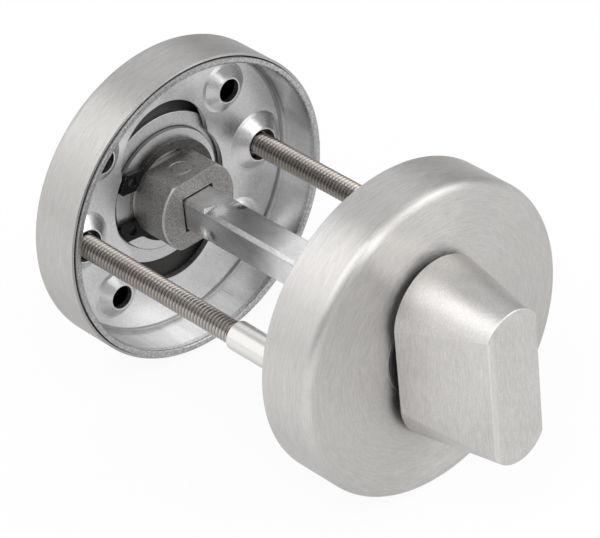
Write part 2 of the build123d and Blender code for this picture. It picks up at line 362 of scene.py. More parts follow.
def new_group(name, inputs, outputs):
    """A shader node group with named sockets, its wiring, what it is given and what it makes."""
    group = bpy.data.node_groups.new(name, "ShaderNodeTree")
    for socket_name, (kind, default) in inputs.items():
        socket = group.interface.new_socket(socket_name, in_out="INPUT", socket_type=kind)
        if default is not None:
            socket.default_value = default
    for socket_name, kind in outputs.items():
        group.interface.new_socket(socket_name, in_out="OUTPUT", socket_type=kind)
    wiring = Wiring(group)
    return group, wiring, wiring.add("NodeGroupInput").outputs, wiring.add("NodeGroupOutput").inputs


FLOAT = "NodeSocketFloat"
VECTOR = "NodeSocketVector"

# The stretch of a noise that holds nearly all its values
NOISE_SPAN = (0.3, 0.7)


def brushed_lines_group():
    """Long fine scratches. The position comes in already stretched along the lines."""
    name = "Brushed lines"
    if name in bpy.data.node_groups:
        return bpy.data.node_groups[name]
    group, wiring, given, made = new_group(
        name,
        {"Position": (VECTOR, None), "Fine": (FLOAT, 2600.0), "Broad": (FLOAT, 420.0)},
        {"Lines": FLOAT},
    )
    fine = wiring.noise(given["Position"], given["Fine"], detail=3.0, roughness=0.7)
    broad = wiring.noise(given["Position"], given["Broad"], detail=3.0, roughness=0.6)
    wiring.put(made["Lines"], wiring.ramp(wiring.total((fine, 0.82), (broad, 0.18)), *NOISE_SPAN))
    return group


def mottle_group():
    """Slow uneven patches, as in plating or handled metal."""
    name = "Mottle"
    if name in bpy.data.node_groups:
        return bpy.data.node_groups[name]
    group, wiring, given, made = new_group(
        name,
        {"Position": (VECTOR, None), "Scale": (FLOAT, 120.0)},
        {"Patches": FLOAT, "Clouds": FLOAT},
    )
    cloud_scale = wiring.times(given["Scale"], 0.3)
    patches = wiring.noise(given["Position"], given["Scale"], detail=5.0, roughness=0.62)
    clouds = wiring.noise(given["Position"], cloud_scale, detail=2.0, roughness=0.5)
    wiring.put(made["Patches"], wiring.ramp(patches, *NOISE_SPAN))
    wiring.put(made["Clouds"], wiring.ramp(clouds, *NOISE_SPAN))
    return group


def speckle_group():
    """Fine grains and pits on cast, rolled and plated surfaces."""
    name = "Speckle"
    if name in bpy.data.node_groups:
        return bpy.data.node_groups[name]
    group, wiring, given, made = new_group(
        name,
        {"Position": (VECTOR, None), "Scale": (FLOAT, 2200.0), "Cover": (FLOAT, 0.5)},
        {"Grain": FLOAT, "Pits": FLOAT},
    )
    pit_scale = wiring.times(given["Scale"], 0.45)
    pit_edge = wiring.times(given["Cover"], 0.6)
    grain = wiring.noise(given["Position"], given["Scale"], detail=3.0, roughness=0.7)
    cells = wiring.add("ShaderNodeTexVoronoi", {"Vector": given["Position"], "Scale": pit_scale})
    wiring.put(made["Grain"], wiring.ramp(grain, *NOISE_SPAN))
    wiring.put(made["Pits"], wiring.ramp(cells.outputs["Distance"], 0.0, pit_edge, 1.0, 0.0))
    return group


class Finish:
    """One material with its Principled shader, to which maps are joined."""

    def __init__(self, name, metallic=1.0, **constants):
        self.material = bpy.data.materials.new(name)
        self.material.use_nodes = True
        tree = self.material.node_tree
        tree.nodes.clear()
        self.wiring = Wiring(tree)
        self.shader = self.wiring.add("ShaderNodeBsdfPrincipled", {"Metallic": metallic})
        for socket, value in constants.items():
            self.shader.inputs[socket.replace("_", " ")].default_value = value
        output = self.wiring.add("ShaderNodeOutputMaterial")
        self.wiring.put(output.inputs["Surface"], self.shader.outputs["BSDF"])
        self.position = self.wiring.add("ShaderNodeTexCoord").outputs["Object"]

    @cached_property
    def axes(self):
        return self.wiring.axes(self.position)

    def put(self, socket, value):
        self.wiring.put(self.shader.inputs[socket], value)

    def roughen(self, mask, smoothest, roughest):
        """Roughness that runs with a mask from the smoothest to the roughest."""
        self.put("Roughness", self.wiring.ramp(mask, 0.0, 1.0, smoothest, roughest))

    def group(self, group, **inputs):
        """Places a node group. Its position is the object's own unless another is given."""
        node = self.wiring.add("ShaderNodeGroup", node_tree=group)
        inputs.setdefault("Position", self.position)
        for name, value in inputs.items():
            self.wiring.put(node.inputs[name], value)
        return node.outputs

    def brush(self, axis):
        """Turns the brushing round an axis."""
        tangent = self.wiring.add("ShaderNodeTangent", direction_type="RADIAL", axis=axis)
        self.put("Tangent", tangent.outputs[0])

    def bump(self, height, depth):
        node = self.wiring.add("ShaderNodeBump", {"Height": height, "Distance": depth})
        self.put("Normal", node.outputs["Normal"])

    def stretched(self, factors):
        """Object position with each axis multiplied by its factor."""
        node = self.wiring.add("ShaderNodeVectorMath", {0: self.position, 1: factors}, operation="MULTIPLY")
        return node.outputs[0]

    def round_mark(self, place, reach, ragged):
        """One inside a round mark about a place, which fades out at its ragged reach."""
        wiring = self.wiring
        node = wiring.add("ShaderNodeVectorMath", {0: self.position, 1: place}, operation="DISTANCE")
        distance = wiring.math("ADD", node.outputs["Value"], ragged)
        return wiring.soft_step(distance, reach, 0.4 * reach)

    def radius(self):
        """Distance from the spindle's axis."""
        return self.wiring.hypotenuse(self.axes["X"], self.axes["Z"])

    def height(self):
        """Height above the nearer door face."""
        wiring = self.wiring
        return wiring.math("SUBTRACT", wiring.away(self.axes["Y"], DOOR_MIDDLE), DOOR_MIDDLE)

    def polar(self, arc):
        """Radius and height across the lines, with the angle about the spindle along them."""
        wiring = self.wiring
        radius = self.radius()
        joined = wiring.add(
            "ShaderNodeCombineXYZ",
            {
                "X": wiring.math("ADD", radius, self.axes["Y"]),
                "Y": wiring.times(wiring.math("DIVIDE", self.axes["X"], radius), arc),
                "Z": wiring.times(wiring.math("DIVIDE", self.axes["Z"], radius), arc),
            },
        )
        return joined.outputs[0]


# Finishes, one function for each material


def turned_finish(name, settings):
    """Stainless steel brushed in circles about the spindle, with painted shade on the inside of the cover,
    which is also rougher, and painted shade on the outside rose.
    """
    finish = Finish(name, Roughness=0.36, Anisotropic=0.9, Anisotropic_Rotation=0.25)
    wiring = finish.wiring
    finish.brush("Y")
    around = finish.polar(TURNED_GRAIN_ARC)
    lines = finish.group(brushed_lines_group(), Position=around, Fine=3800.0)["Lines"]
    grain = finish.group(speckle_group(), Scale=4600.0)["Grain"]
    clouds = finish.group(mottle_group(), Scale=90.0)["Clouds"]
    radius = finish.radius()
    height = finish.height()
    # Painted shade: the inside of the cover is painted dark, and it is made rougher there too
    inside = wiring.within(
        (radius, COVER_INSIDE_RADIUS + FADE, COVER_INSIDE_RADIUS),
        (height, COVER_INSIDE_HEIGHT + 2.0 * FADE, COVER_INSIDE_HEIGHT + FADE),
        (wiring.math("ADD", radius, height), COVER_INSIDE_CORNER, COVER_INSIDE_CORNER - 2.0 * FADE),
    )
    uneven = wiring.total((lines, 0.6), (grain, 0.3), (clouds, 0.1))
    tone = wiring.shades(uneven, settings.stainless, darkest=0.78, lightest=1.22)
    # Painted shade: the stainless of the outside rose is painted darker than that of the inside rose
    painted_outside_shade = wiring.ramp(finish.axes["Y"], DOOR_MIDDLE, DOOR_THICKNESS, 1.0, 0.88)
    tone = wiring.dimmed(tone, painted_outside_shade)
    finish.put("Base Color", wiring.lay(inside, tone, settings.stainless, shade=0.16))
    brushed = wiring.ramp(lines, 0.0, 1.0, 0.33, 0.45)
    finish.put("Roughness", wiring.math("MULTIPLY_ADD", inside, 0.25, brushed))
    finish.bump(lines, settings.grain_depth)
    return finish.material


def straight_finish(name, settings):
    """Stainless steel brushed up and down, with a painted highlight down the left of its end face and painted
    shade on its underside.
    """
    finish = Finish(name, Roughness=0.38, Anisotropic=0.35)
    wiring = finish.wiring
    finish.brush("Z")
    along = finish.stretched((1.0, 1.0, 0.12))
    lines = finish.group(brushed_lines_group(), Position=along, Fine=4000.0)["Lines"]
    grain = finish.group(speckle_group(), Scale=4600.0)["Grain"]
    patches = finish.group(mottle_group(), Scale=160.0)["Patches"]
    height = finish.height()
    # Painted shade: the turn's underside, over the gap above the cover, is painted dark
    painted_underside_shade = wiring.soft_step(height, TURN_UNDERSIDE_HEIGHT + 2.0 * FADE, TURN_UNDERSIDE_HEIGHT + FADE)
    # Painted highlight: a lighter strip down the left of the end face
    painted_edge_highlight = wiring.within(
        (finish.axes["X"], TURN_HIGHLIGHT_X, TURN_HIGHLIGHT_X - 0.6 * MM),
        (height, TURN_END_HEIGHT - 0.3 * MM, TURN_END_HEIGHT - 0.1 * MM),
    )
    uneven = wiring.total((lines, 0.5), (grain, 0.35), (patches, 0.15))
    tone = wiring.shades(uneven, settings.stainless, darkest=0.79, lightest=1.32)
    tone = wiring.lay(painted_edge_highlight, tone, settings.stainless, shade=1.5, strength=0.25)
    finish.put("Base Color", wiring.lay(painted_underside_shade, tone, settings.stainless, shade=0.12))
    finish.roughen(lines, smoothest=0.34, roughest=0.44)
    finish.bump(lines, settings.grain_depth)
    return finish.material


def pressed_cup_finish(name, settings):
    """Satin zinc plate on the drawn cup: draw marks down its wall, painted shade in its bend, a rough cut
    rim.
    """
    finish = Finish(name, Roughness=0.4)
    wiring = finish.wiring
    radius = finish.radius()
    height = finish.height()
    patches = finish.group(mottle_group(), Scale=150.0)["Patches"]
    along_wall = finish.stretched((1.0, 0.08, 1.0))
    draws = finish.group(mottle_group(), Position=along_wall, Scale=420.0)["Patches"]
    grain = finish.group(speckle_group(), Scale=3200.0)["Grain"]
    wall = wiring.soft_step(radius, CUP_WALL_RADIUS - 0.6 * MM, CUP_WALL_RADIUS - 0.1 * MM)
    # Painted shade in the cup's bend, which dims the highlight that the bend catches
    bend = wiring.soft_step(wiring.away(radius, CUP_BEND_RADIUS), *CUP_BEND_SHADE_SPAN)
    rim = wiring.soft_step(height, *CUP_RIM_SPAN)
    rim_band = wiring.times(wiring.soft_step(height, *CUP_RIM_BAND_SPAN), wall)
    marked = wiring.times(wall, wiring.ramp(draws, 0.2, 0.9, 0.35, 0.0))
    uneven = wiring.total((patches, 0.5), (grain, 0.5))
    tone = wiring.shades(uneven, settings.zinc_plate, darkest=0.76, lightest=1.22)
    tone = wiring.lay(marked, tone, settings.zinc_plate, shade=0.45)
    tone = wiring.lay(bend, tone, settings.zinc_plate, shade=0.22, strength=0.78)
    rough = wiring.shades(grain, settings.zinc_plate, darkest=0.25, lightest=0.95)
    tone = wiring.blend(wiring.times(rim_band, 0.75), tone, rough)
    tone = wiring.blend(wiring.times(rim, 0.4), tone, rough)
    finish.put("Base Color", tone)
    finish.roughen(wiring.ramp(uneven, 0.2, 0.8), smoothest=0.28, roughest=0.40)
    finish.bump(wiring.total((patches, 3.0), (grain, 1.0)), PLATE_BUMP)
    return finish.material


def plated_finish(name, settings):
    """Satin zinc plate on the washers and discs, with a painted shadow line where the washer ends on its
    disc.
    """
    finish = Finish(name, Roughness=0.42)
    wiring = finish.wiring
    patches = finish.group(mottle_group(), Scale=200.0)["Patches"]
    grain = finish.group(speckle_group(), Scale=2300.0)["Grain"]
    # Painted shadow: a dark line on the disc where the washer's edge sits
    edge = wiring.soft_step(wiring.away(finish.radius(), WASHER_RADIUS), *WASHER_SHADOW_SPAN)
    tone = wiring.shades(grain, settings.zinc_plate, darkest=0.85, lightest=1.12)
    tone = wiring.lay(patches, tone, settings.zinc_plate, shade=0.6, strength=0.2)
    finish.put("Base Color", wiring.lay(edge, tone, settings.zinc_plate, shade=0.12, strength=0.85))
    finish.roughen(grain, smoothest=0.36, roughest=0.48)
    finish.bump(wiring.total((patches, 2.0), (grain, 1.0)), PLATE_BUMP)
    return finish.material


def drawn_bar_finish(name, settings):
    """Plated drawn bar of the spindle: grainy corners, painted shade towards the outside hub, painted glints
    and dark spots.
    """
    finish = Finish(name, Roughness=0.3)
    wiring = finish.wiring
    along_bar = finish.stretched((1.0, 0.5, 1.0))
    patches = finish.group(mottle_group(), Position=along_bar, Scale=330.0)["Patches"]
    grain = finish.group(speckle_group(), Scale=3000.0)["Grain"]
    glitter = finish.group(speckle_group(), Scale=2100.0)["Grain"]
    across = wiring.math("ADD", wiring.size(finish.axes["X"]), wiring.size(finish.axes["Z"]))
    corner_start = SPINDLE_WIDTH - SPINDLE_CHAMFER
    corner = wiring.soft_step(across, corner_start - 0.12 * MM, corner_start)
    # Painted shade: the bar's flats and corners are painted darker towards the outside hub
    ragged_y = wiring.math("ADD", finish.axes["Y"], wiring.sway(patches, 4.0 * MM))
    painted_hub_shade = wiring.soft_step(ragged_y, *HUB_SHADE_SPAN)
    cloudy = wiring.total((patches, 0.7), (grain, 0.3))
    flats = wiring.shades(cloudy, settings.zinc_plate, darkest=0.82, lightest=1.24)
    shaded_flats = wiring.shades(cloudy, settings.zinc_plate, darkest=0.46, lightest=0.86)
    flats = wiring.blend(wiring.times(painted_hub_shade, 0.8), flats, shaded_flats)
    grains = wiring.shades(glitter, settings.zinc_plate, darkest=0.8, lightest=1.24)
    grains = wiring.lay(painted_hub_shade, grains, settings.zinc_plate, shade=0.4, strength=0.35)
    tone = wiring.blend(corner, flats, grains)
    ragged = wiring.sway(grain, 1.2 * MM)
    # Painted glints: bright patches on the top and on the side of the bar, beside the hub
    painted_glints = wiring.math(
        "MAXIMUM",
        finish.round_mark(SPINDLE_TOP_GLINT, 1.7 * MM, ragged),
        finish.round_mark(SPINDLE_SIDE_GLINT, 1.2 * MM, ragged),
    )
    # Dark spots on the side of the bar and on its far top edge, beside the hub
    dark_spots = wiring.math(
        "MAXIMUM",
        finish.round_mark(SPINDLE_SIDE_DARK_SPOT, 1.0 * MM, ragged),
        finish.round_mark(SPINDLE_EDGE_DARK_SPOT, 0.9 * MM, ragged),
    )
    tone = wiring.lay(dark_spots, tone, settings.zinc_plate, shade=0.12, strength=0.85)
    finish.put("Base Color", wiring.lay(painted_glints, tone, settings.zinc_plate, shade=1.24))
    smooth = wiring.ramp(patches, 0.0, 1.0, 0.14, 0.25)
    rougher = wiring.math("MAXIMUM", wiring.times(corner, 0.24), wiring.times(painted_glints, 0.25))
    finish.put("Roughness", wiring.math("ADD", rougher, smooth))
    coarse = wiring.times(grain, wiring.math("ADD", corner, 1.5))
    finish.bump(wiring.total((patches, 2.0), (coarse, 1.0)), SPINDLE_BUMP)
    return finish.material


def cast_finish(name, settings):
    """Tumbled zinc casting: grey and grainy, with painted highlights on the edge round its end and by the
    ring.
    """
    finish = Finish(name, Roughness=0.5)
    wiring = finish.wiring
    patches = finish.group(mottle_group(), Scale=260.0)["Patches"]
    specks = finish.group(speckle_group(), Scale=3400.0, Cover=0.7)
    grain = specks["Grain"]
    height = finish.height()
    end_face = wiring.soft_step(height, HUB_END_HEIGHT + 0.12 * MM, HUB_END_HEIGHT + 0.04 * MM)
    # Painted highlight on the broken edge round the hub's end
    edge = wiring.within(
        (height, HUB_END_HEIGHT + 0.34 * MM, HUB_END_HEIGHT + 0.28 * MM),
        (height, HUB_END_HEIGHT + 0.02 * MM, HUB_END_HEIGHT + 0.08 * MM),
    )
    # Painted highlight on the hub beside the ring's front
    painted_groove_highlight = wiring.within(
        (height, RING_FRONT_HEIGHT - 0.1 * MM, RING_FRONT_HEIGHT),
        (height, RING_FRONT_HEIGHT + 0.8 * MM, RING_FRONT_HEIGHT + 0.6 * MM),
    )
    tone = wiring.shades(grain, settings.cast_zinc, darkest=0.5, lightest=1.65)
    tone = wiring.lay(patches, tone, settings.cast_zinc, shade=0.6, strength=0.25)
    tone = wiring.lay(specks["Pits"], tone, settings.cast_zinc, shade=1.5, strength=0.3)
    end_tone = wiring.shades(grain, settings.cast_zinc, darkest=0.45, lightest=1.5)
    tone = wiring.blend(end_face, tone, end_tone)
    tone = wiring.lay(edge, tone, settings.cast_zinc, shade=1.7, strength=0.5)
    finish.put("Base Color", wiring.lay(painted_groove_highlight, tone, settings.cast_zinc, shade=2.2))
    finish.roughen(grain, smoothest=0.42, roughest=0.6)
    finish.bump(wiring.total((patches, 1.5), (grain, 1.0)), CAST_BUMP)
    return finish.material


def spring_finish(name, settings):
    """Blackened spring steel, painted lighter on one side as sheen, and with a painted highlight on its front
    edge.
    """
    finish = Finish(name, metallic=0.2, Roughness=0.35, Specular_IOR_Level=0.14)
    wiring = finish.wiring
    grain = finish.group(speckle_group(), Scale=2600.0)["Grain"]
    height = finish.height()
    # Painted highlight along the ring's front edge
    painted_light = wiring.within(
        (height, RING_FRONT_HEIGHT + 0.2 * MM, RING_FRONT_HEIGHT + 0.05 * MM),
        (height, RING_FRONT_HEIGHT + 0.01 * MM, RING_FRONT_HEIGHT + 0.05 * MM),
        (grain, 0.45, 0.75),
    )
    # Painted sheen: the ring is painted lighter towards +X
    painted_sheen = wiring.soft_step(finish.axes["X"], *RING_SHEEN_SPAN)
    tone = wiring.shades(grain, settings.spring_steel, darkest=0.6, lightest=1.6)
    lit_steel = wiring.shades(grain, settings.spring_steel, darkest=5.0, lightest=14.0)
    tone = wiring.blend(wiring.times(painted_sheen, 0.8), tone, lit_steel)
    finish.put("Base Color", wiring.lay(painted_light, tone, settings.spring_steel, shade=18.0))
    finish.roughen(grain, smoothest=0.28, roughest=0.45)
    finish.bump(grain, SPRING_BUMP)
    return finish.material


def screw_finish(name, settings):
    """Stainless fasteners: painted shade in the grooves of the thread and under the heads, painted light and
    shade along the screws, clean turned heads and sleeves.
    """
    finish = Finish(name, Roughness=0.22)
    wiring = finish.wiring
    beside = wiring.math("SUBTRACT", wiring.size(finish.axes["X"]), SCREW_CIRCLE_RADIUS)
    radius = wiring.hypotenuse(beside, finish.axes["Z"])
    thread_depth = bpy.context.scene.lock_thread.depth
    open_metal = wiring.ramp(radius, THREAD_CREST - 0.9 * thread_depth, THREAD_CREST)
    along = finish.stretched((0.25, 1.0, 0.25))
    lines = finish.group(brushed_lines_group(), Position=along, Fine=1800.0)["Lines"]
    patches = finish.group(mottle_group(), Scale=300.0)["Patches"]
    uneven = wiring.total((lines, 0.3), (patches, 0.5))
    tone = wiring.shades(uneven, settings.screw_steel, darkest=0.68, lightest=0.95)
    # Painted shade in the grooves of the thread
    painted_groove_shade = scaled(settings.screw_steel, 0.26)
    tone = wiring.blend(open_metal, painted_groove_shade, tone)
    # Painted light and shade along the screws: darker towards the heads, lighter towards the sleeve nuts
    painted_light = wiring.ramp(finish.axes["Y"], *SCREW_PAINTED_LIGHT_SPAN, 0.78, 1.4)
    tone = wiring.dimmed(tone, painted_light)
    turned = wiring.soft_step(radius, THREAD_CREST + 0.1 * MM, THREAD_CREST + 0.3 * MM)
    tone = wiring.lay(turned, tone, settings.stainless, shade=1.2)
    # Painted shade under the heads, round the thread
    painted_shade_under_head = wiring.within(
        (wiring.away(finish.height(), HEAD_SEAT_HEIGHT), *UNDER_HEAD_SPAN),
        (radius, THREAD_CREST, THREAD_CREST + FADE),
    )
    finish.put("Base Color", wiring.lay(painted_shade_under_head, tone, settings.screw_steel, shade=0.06))
    finish.roughen(lines, smoothest=0.19, roughest=0.29)
    finish.bump(lines, SCREW_BUMP)
    return finish.material


def polymer_finish(name, settings):
    """Dark moulded bearing polymer."""
    finish = Finish(name, metallic=0.0, Roughness=0.5)
    wiring = finish.wiring
    grain = finish.group(speckle_group(), Scale=2400.0)["Grain"]
    finish.put("Base Color", wiring.shades(grain, settings.bush_polymer, darkest=0.7, lightest=1.5))
    finish.roughen(grain, smoothest=0.42, roughest=0.6)
    finish.bump(grain, POLYMER_BUMP)
    return finish.material


def shared_finish(name, build):
    """Builds a material once and then hands out the same one."""
    if name not in bpy.data.materials:
        return build(name, bpy.context.scene.lock_finish)
    return bpy.data.materials[name]


# Small helpers for meshes

MERGE_DISTANCE = 0.0005 * MM
FLAT_ANGLE = math.radians(0.5)
SHARP_EDGE_ANGLE = math.radians(28.0)
SHARP_THREAD_ANGLE = math.radians(65.0)
FINE_BEVEL = 0.08 * MM
HUB_BEVEL = 0.15 * MM

# Steps round the thread, rows along one pitch, and how fast the thread rises at its ends
THREAD_STEPS = 36
THREAD_ROWS = 6
THREAD_RUNOUT = 0.5
THREAD_INTO_HEAD = 0.2 * MM
SEAT_MARGIN = 0.01 * MM


def joined_mesh(node, material):
    """A copy of a frame node's mesh with its flat facets joined."""
    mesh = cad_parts[node].data.copy()
    mesh.name = node + "_dressed"
    mesh.materials.clear()
    mesh.materials.append(material)
    shape = bmesh.new()
    shape.from_mesh(mesh)
    bmesh.ops.remove_doubles(shape, verts=shape.verts, dist=MERGE_DISTANCE)
    bmesh.ops.dissolve_limit(
        shape, angle_limit=FLAT_ANGLE, verts=shape.verts, edges=shape.edges, use_dissolve_boundaries=False
    )
    shape.to_mesh(mesh)
    shape.free()
    for name in ("custom_normal", "sharp_edge", "sharp_face"):
        if mesh.attributes.get(name):
            mesh.attributes.remove(mesh.attributes[name])
    return mesh


def new_piece(node, mesh):
    """An object for a node's dressed mesh, linked to the scene."""
    piece = bpy.data.objects.new(node + "_dressed", mesh)
    bpy.context.scene.collection.objects.link(piece)
    return piece


def place_piece(piece, body, slot, *nodes):
    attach(piece, body)
    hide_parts(*nodes)
    return piece


def apply_modifiers(piece):
    depsgraph = bpy.context.evaluated_depsgraph_get()
    finished = bpy.data.meshes.new_from_object(piece.evaluated_get(depsgraph))
    piece.modifiers.clear()
    piece.data = finished


def dressed_copy(node, body, slot, material, bevel=FINE_BEVEL):
    """A frame node's shape with its sharp edges broken by a small bevel and its flats shaded flat."""
    mesh = joined_mesh(node, material)
    mesh.shade_smooth()
    piece = new_piece(node, mesh)
    edges = piece.modifiers.new("Broken edges", "BEVEL")
    edges.width = bevel
    edges.segments = 3
    edges.limit_method = "ANGLE"
    edges.angle_limit = SHARP_EDGE_ANGLE
    edges.miter_outer = "MITER_ARC"
    normals = piece.modifiers.new("Flat faces stay flat", "WEIGHTED_NORMAL")
    normals.weight = 80
    apply_modifiers(piece)
    return place_piece(piece, body, slot, node)


def add_thread(shape, middle, low, high, settings):
    """A rod along Y, about a middle, with a rolled helical thread that runs out at both ends."""
    root = THREAD_CREST - settings.depth
    turns = math.ceil((high - low) / settings.pitch) + 1
    columns = []
    for step in range(THREAD_STEPS + 1):
        angle = 2.0 * math.pi * step / THREAD_STEPS
        column = []
        for row in range(-THREAD_ROWS, turns * THREAD_ROWS + 1):
            y = low + (row / THREAD_ROWS + step / THREAD_STEPS) * settings.pitch
            wave = math.cos(math.pi * row / THREAD_ROWS) ** 2
            inside = min(max(y, low), high)
            taper = root + THREAD_RUNOUT * min(inside - low, high - inside)
            radius = min(root + settings.depth * wave, taper)
            place = (middle.x + radius * math.cos(angle), inside, middle.z + radius * math.sin(angle))
            column.append(shape.verts.new(place))
        columns.append(column)
    for left, right in zip(columns, columns[1:]):
        for row in range(len(left) - 1):
            shape.faces.new((left[row], right[row], right[row + 1], left[row + 1]))
    bmesh.ops.remove_doubles(shape, verts=shape.verts, dist=MERGE_DISTANCE)
    bmesh.ops.dissolve_degenerate(shape, edges=shape.edges, dist=MERGE_DISTANCE)
    bmesh.ops.holes_fill(shape, edges=[edge for edge in shape.edges if edge.is_boundary], sides=0)
    bmesh.ops.recalc_face_normals(shape, faces=shape.faces)


def through_screw(node, material):
    """A through screw: the frame's own head, with a threaded rod in place of its plain shank."""
    mesh = joined_mesh(node, material)
    middle = node_middle(node)
    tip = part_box(node)[0].y
    shape = bmesh.new()
    shape.from_mesh(mesh)
    shank = [face for face in shape.faces if face.calc_center_median().y < HEAD_SEAT - SEAT_MARGIN]
    bmesh.ops.delete(shape, geom=shank, context="FACES")
    add_thread(shape, middle, tip, HEAD_SEAT + THREAD_INTO_HEAD, bpy.context.scene.lock_thread)
    shape.to_mesh(mesh)
    shape.free()
    mesh.shade_smooth()
    mesh.set_sharp_from_angle(angle=SHARP_THREAD_ANGLE)
    return place_piece(new_piece(node, mesh), ROSES, "stainless_screw", node)


def dress_node(node, material):
    """Gives a frame node that stays in view its material, on the object's own slot."""
    node_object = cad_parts[node]
    if not node_object.material_slots:
        raise RuntimeError("The frame node has no material slot: " + node)
    for slot in node_object.material_slots:
        slot.link = "OBJECT"
        slot.material = material


# Operators, one for each piece or group of like pieces


class LOCK_OT_covers(bpy.types.Operator):
    """Dress the two spun rose covers in brushed stainless steel"""

    bl_idname = "lock.covers"
    bl_label = "Rose covers"

    def execute(self, context):
        material = shared_finish("Turned stainless", turned_finish)
        for node in ("inside_cover", "outside_cover"):
            dress_node(node, material)
        return {"FINISHED"}


class LOCK_OT_bases(bpy.types.Operator):
    """Dress the two stamped base cups in satin zinc plate"""

    bl_idname = "lock.bases"
    bl_label = "Base cups"

    def execute(self, context):
        material = shared_finish("Zinc plated cup", pressed_cup_finish)
        for node in ("inside_base", "outside_base"):
            dress_node(node, material)
        return {"FINISHED"}


class LOCK_OT_thumb_turn(bpy.types.Operator):
    """Dress the thumb turn in straight brushed stainless steel"""

    bl_idname = "lock.thumb_turn"
    bl_label = "Thumb turn"

    def execute(self, context):
        dress_node("thumb_turn", shared_finish("Straight brushed stainless", straight_finish))
        return {"FINISHED"}


class LOCK_OT_release(bpy.types.Operator):
    """Dress the coin release disc of the outside rose"""

    bl_idname = "lock.release"
    bl_label = "Release disc"

    def execute(self, context):
        dress_node("release_disc", shared_finish("Turned stainless", turned_finish))
        return {"FINISHED"}


class LOCK_OT_bushes(bpy.types.Operator):
    """Dress the flanged bushes that the hubs turn in"""

    bl_idname = "lock.bushes"
    bl_label = "Bushes"

    def execute(self, context):
        material = shared_finish("Bearing polymer", polymer_finish)
        for node in ("inside_bush", "outside_bush"):
            dress_node(node, material)
        return {"FINISHED"}


class LOCK_OT_washers(bpy.types.Operator):
    """Make the washers and bearing discs between the rings and the covers"""

    bl_idname = "lock.washers"
    bl_label = "Washers and discs"

    def execute(self, context):
        material = shared_finish("Zinc plated sheet", plated_finish)
        for side in ("inside", "outside"):
            for kind in ("washer", "bearing_disc"):
                dressed_copy(f"{side}_{kind}", TURN, "bright_zinc", material)
        return {"FINISHED"}


class LOCK_OT_hubs(bpy.types.Operator):
    """Make the two cast hubs with softly broken edges"""

    bl_idname = "lock.hubs"
    bl_label = "Hubs"

    def execute(self, context):
        material = shared_finish("Zinc casting", cast_finish)
        for node in ("inside_hub", "outside_hub"):
            dressed_copy(node, TURN, "cast_zinc", material, bevel=HUB_BEVEL)
        return {"FINISHED"}


class LOCK_OT_rings(bpy.types.Operator):
    """Make the retaining rings in blackened spring steel"""

    bl_idname = "lock.rings"
    bl_label = "Retaining rings"

    def execute(self, context):
        material = shared_finish("Black spring steel", spring_finish)
        for node in ("inside_retaining_ring", "outside_retaining_ring"):
            dressed_copy(node, TURN, "black_spring_steel", material)
        return {"FINISHED"}


class LOCK_OT_spindle(bpy.types.Operator):
    """Make the square spindle in drawn and plated bar"""

    bl_idname = "lock.spindle"
    bl_label = "Spindle"

    def execute(self, context):
        dressed_copy("spindle", TURN, "bright_zinc", shared_finish("Zinc plated drawn bar", drawn_bar_finish))
        return {"FINISHED"}


class LOCK_OT_fasteners(bpy.types.Operator):
    """Make the through screws with their rolled threads, and the sleeve nuts"""

    bl_idname = "lock.fasteners"
    bl_label = "Screws and sleeve nuts"

    def execute(self, context):
        material = shared_finish("Screw steel", screw_finish)
        for side in ("left", "right"):
            dressed_copy(f"{side}_sleeve_nut", ROSES, "stainless_screw", material)
            through_screw(f"{side}_through_screw", material)
        return {"FINISHED"}


# The stage

# Floor. Strengths are for reflections: what its card has, and what each region adds
FLOOR_REACH = 1.5
FLOOR_PAINT = (0.9, 0.9, 0.9, 1.0)
FLOOR_CARD = 0.85
FLOOR_LEFT = 0.45
FLOOR_BEHIND = -0.3
FLOOR_FRONT = 0.15
FLOOR_LEFT_X = (-0.018, -0.055)
FLOOR_BEHIND_X = (0.04, 0.12)
FLOOR_BEHIND_Y = (0.06, 0.12)
FLOOR_FRONT_Y = (-0.012, -0.035)

# Strength of the floor to the camera, and how much of the floor glows to the camera and to reflections
FLOOR_SEEN = 1.035
GLOW_SEEN = 0.88
GLOW_MIRRORED = 0.6

# World: its strength as light, and to reflections below the horizon and between the soft boxes
WHITE = (1.0, 1.0, 1.0, 1.0)
WORLD_SEEN = 1.0
WORLD_LIGHT = 0.6
WORLD_BELOW = 0.85
WORLD_DARK = 0.44
HORIZON_Z = (-0.05, 0.12)

# Strengths of the soft boxes, and the walls of each in parts of a direction
SOFT_BOXES = 0.84
SIDE_BOX_X = (0.02, -0.30)
SIDE_BOX_Y = (-0.35, 0.15)
FRONT_BOX_Y = (-0.2, -0.6)
FRONT_BOX_SLANT = (0.12, 0.22)
STRIP = 3.3
STRIP_LEAN = 0.364
STRIP_Y = (-0.72, -0.86)
STRIP_END_SLANT = (0.36, 0.28)
OVERHEAD = 0.35
OVERHEAD_Y = (0.50, 0.30)
OVERHEAD_Z = (0.62, 0.80)
BACKDROP = 0.72
BACKDROP_Y = (0.42, 0.56)
BACKDROP_MIDDLE_Z = 0.58
BACKDROP_REACH_Z = (0.24, 0.12)

# Lamps and camera
LAMP_AIM = Vector((0.0, 0.02, 0.0))
MAIN_LAMP_PLACE = Vector((-0.35, -0.15, 0.55))
MAIN_LAMP_SIZE = 0.7
FILL_LAMP_PLACE = Vector((0.45, -0.45, 0.35))
FILL_LAMP_SIZE = 0.45
FILL_LAMP_SHARE = 0.6
CAMERA_AIM = Vector((2.332, 22.0, -2.858)) * MM
SENSOR_WIDTH = 36.0
FOCAL_LENGTH = 234.704
NEAREST_SEEN = 0.01
FARTHEST_SEEN = 10.0


def stage_mesh(name, corners, material):
    mesh = bpy.data.meshes.new(name)
    mesh.from_pydata(corners, [], [tuple(range(len(corners)))])
    mesh.materials.append(material)
    surface = bpy.data.objects.new(name, mesh)
    bpy.context.scene.collection.objects.link(surface)


